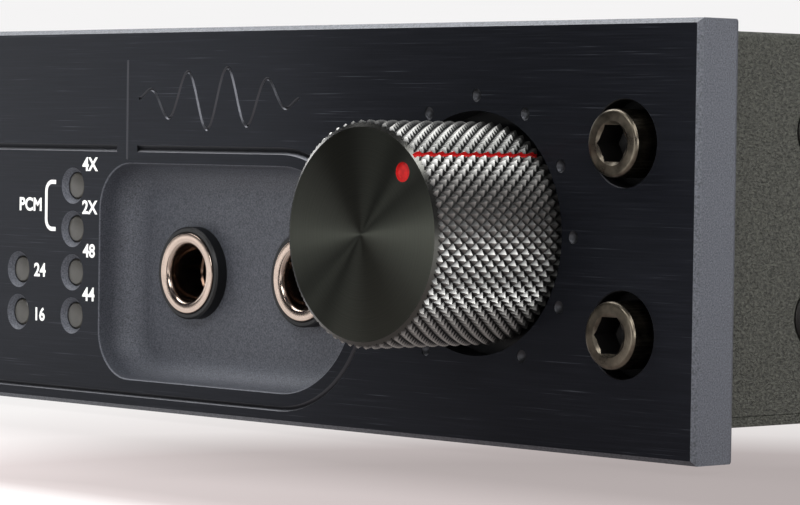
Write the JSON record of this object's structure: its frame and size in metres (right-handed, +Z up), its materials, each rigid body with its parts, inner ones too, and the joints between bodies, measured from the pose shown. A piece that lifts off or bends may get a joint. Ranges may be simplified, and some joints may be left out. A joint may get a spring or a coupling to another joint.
{
  "type": "desktop digital-to-analogue converter",
  "caption": "Half-width audio converter and headphone amplifier with a knurled volume knob, milled pockets, sprung buttons and rear sockets.",
  "frame": {"origin": "middle of the whole object's footprint, on the plane that the feet stand on", "axes": "+Z up, +Y from the faceplate to the rear panel, +X to the right seen from the front"},
  "size_m": [0.2414, 0.237, 0.0448],
  "materials": {
    "faceplate_anodised": "brushed, black anodised",
    "knob_anodised": "turned and knurled, black anodised",
    "button_anodised": "turned, black anodised",
    "case_paint": "fine wrinkle powder coat",
    "screw_steel": "satin stainless",
    "black_steel": "black oxide",
    "zinc_steel": "zinc plated",
    "bare_aluminium": "extruded",
    "nickel_plate": "nickel plated",
    "gold_plate": "gold plated",
    "foot_rubber": "matt",
    "black_plastic": "moulded",
    "connector_black": "satin black",
    "white_plastic": "moulded",
    "lens_acrylic": "smoked acrylic",
    "circuit_board": "solder mask",
    "winding_tape": "polyester tape",
    "capacitor_sleeve": "shrink sleeve",
    "cable_grey": "extruded"
  },
  "bodies": {
    "chassis": {"faceplate": "faceplate_anodised", "faceplate_screws": "screw_steel", "base_tray": "case_paint", "front_subpanel": "case_paint", "rear_panel": "case_paint", "top_cover": "case_paint", "cover_screws": "black_steel", "press_nuts": "zinc_steel", "rubber_feet": "foot_rubber", "volume_pot_body": "zinc_steel", "volume_pot_bushing": "gold_plate", "volume_pot_nut": "zinc_steel", "jack_left_sleeve": "nickel_plate", "jack_left_nut": "black_plastic", "jack_left_body": "black_plastic", "jack_right_sleeve": "nickel_plate", "jack_right_nut": "black_plastic", "jack_right_body": "black_plastic", "light_pipes": "lens_acrylic", "indicator_leds": "white_plastic", "front_board": "circuit_board", "button_switches": "black_plastic", "main_board": "circuit_board", "board_standoffs": "zinc_steel", "board_screws": "zinc_steel", "power_transformer": "winding_tape", "transformer_bolt": "zinc_steel", "filter_capacitors": "capacitor_sleeve", "converter_chip": "black_plastic", "receiver_chip": "black_plastic", "op_amps": "black_plastic", "voltage_regulators": "black_plastic", "heat_sink": "bare_aluminium", "output_relays": "white_plastic", "ribbon_cable": "cable_grey", "mains_inlet": "black_plastic", "mains_pins": "nickel_plate", "xlr_left_shell": "connector_black", "xlr_right_shell": "connector_black", "xlr_pins": "gold_plate", "rca_shells": "gold_plate", "rca_insulators": "white_plastic", "rca_nuts": "gold_plate", "optical_left_socket": "black_plastic", "optical_right_socket": "black_plastic", "usb_shell": "nickel_plate", "usb_tongue": "white_plastic", "connector_screws": "black_steel", "trigger_socket": "black_plastic", "trigger_ring": "nickel_plate"},
    "volume_knob": {"knob": "knob_anodised", "knob_grub_screw": "black_steel", "volume_shaft": "bare_aluminium"},
    "power_button": {"button_power": "button_anodised"},
    "mute_button": {"button_mute": "button_anodised"},
    "up_button": {"button_up": "button_anodised"},
    "down_button": {"button_down": "button_anodised"},
    "fuse_carrier": {"fuse_drawer": "black_plastic"},
    "left_shutter": {"optical_left_shutter": "black_plastic"},
    "right_shutter": {"optical_right_shutter": "black_plastic"}
  },
  "joints": [
    {"name": "volume_turn", "type": "hinge", "parent": "chassis", "child": "volume_knob", "pos_m": [0.0894, -0.1026, 0.0229], "axis": [0, 1, 0], "range_deg": [-194, 106]},
    {"name": "power_press", "type": "slide", "parent": "chassis", "child": "power_button", "axis": [0, 1, 0], "range_m": [0, 0.0008], "stiffness_N_per_m": 1500},
    {"name": "mute_press", "type": "slide", "parent": "chassis", "child": "mute_button", "axis": [0, 1, 0], "range_m": [0, 0.0008], "stiffness_N_per_m": 1500},
    {"name": "up_press", "type": "slide", "parent": "chassis", "child": "up_button", "axis": [0, 1, 0], "range_m": [0, 0.0008], "stiffness_N_per_m": 1500},
    {"name": "down_press", "type": "slide", "parent": "chassis", "child": "down_button", "axis": [0, 1, 0], "range_m": [0, 0.0008], "stiffness_N_per_m": 1500},
    {"name": "fuse_pull", "type": "slide", "parent": "chassis", "child": "fuse_carrier", "axis": [0, 1, 0], "range_m": [0, 0.014]},
    {"name": "left_shutter_swing", "type": "hinge", "parent": "chassis", "child": "left_shutter", "pos_m": [-0.058, 0.1064, 0.0354], "axis": [-1, 0, 0], "range_deg": [0, 80], "stiffness_Nm_per_rad": 0.0005},
    {"name": "right_shutter_swing", "type": "hinge", "parent": "chassis", "child": "right_shutter", "pos_m": [-0.058, 0.1064, 0.0189], "axis": [-1, 0, 0], "range_deg": [0, 80], "stiffness_Nm_per_rad": 0.0005}
  ]
}
